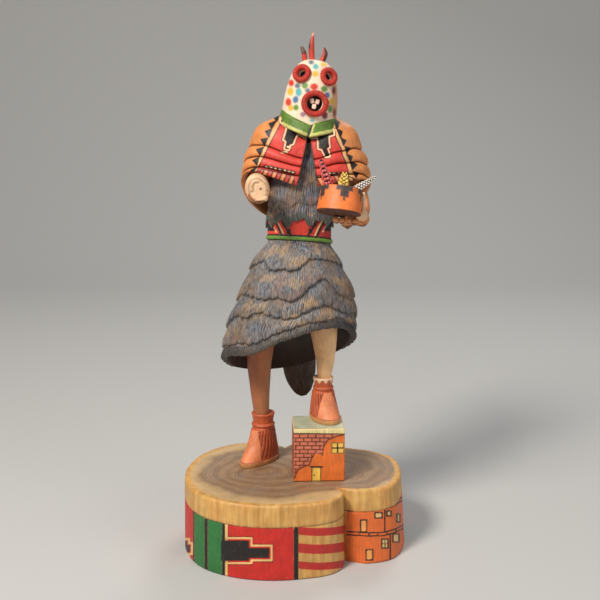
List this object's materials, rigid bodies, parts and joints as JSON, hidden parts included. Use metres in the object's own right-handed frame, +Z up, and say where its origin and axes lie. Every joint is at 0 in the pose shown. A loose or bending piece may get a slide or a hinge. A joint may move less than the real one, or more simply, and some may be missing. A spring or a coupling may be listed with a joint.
{
  "type": "carved doll on a slab base",
  "caption": "Carved and painted wooden doll in a round-topped dotted mask, stepping up onto a small house block on a slab of wood, with a bowl of corn held forward.",
  "frame": {"origin": "on the ground under the middle of the slab", "axes": "+Z up, the doll faces -Y, +X towards the doll's left hand"},
  "size_m": [0.1781, 0.1434, 0.4024],
  "materials": {
    "slab_wood": "waxed end grain with a painted band round the side",
    "block_paint": "satin paint",
    "doll_paint": "satin paint and stain over carved wood",
    "ring_paint": "satin red paint",
    "feather_paint": "satin red and dark brown paint",
    "bowl_paint": "satin orange paint with a dark stepped motif",
    "red_corn": "satin paint",
    "yellow_corn": "satin paint",
    "white_corn": "satin paint"
  },
  "bodies": {
    "root": {"base_slab": "slab_wood", "house_block": "block_paint", "figure": "doll_paint", "eye_ring_right": "ring_paint", "eye_ring_left": "ring_paint", "mouth_ring": "ring_paint", "crest_feather_centre": "feather_paint", "crest_feather_right": "feather_paint", "crest_feather_left": "feather_paint", "corn_bowl": "bowl_paint", "corn_ear_red": "red_corn", "corn_ear_yellow": "yellow_corn", "corn_ear_white": "white_corn"}
  },
  "joints": []
}
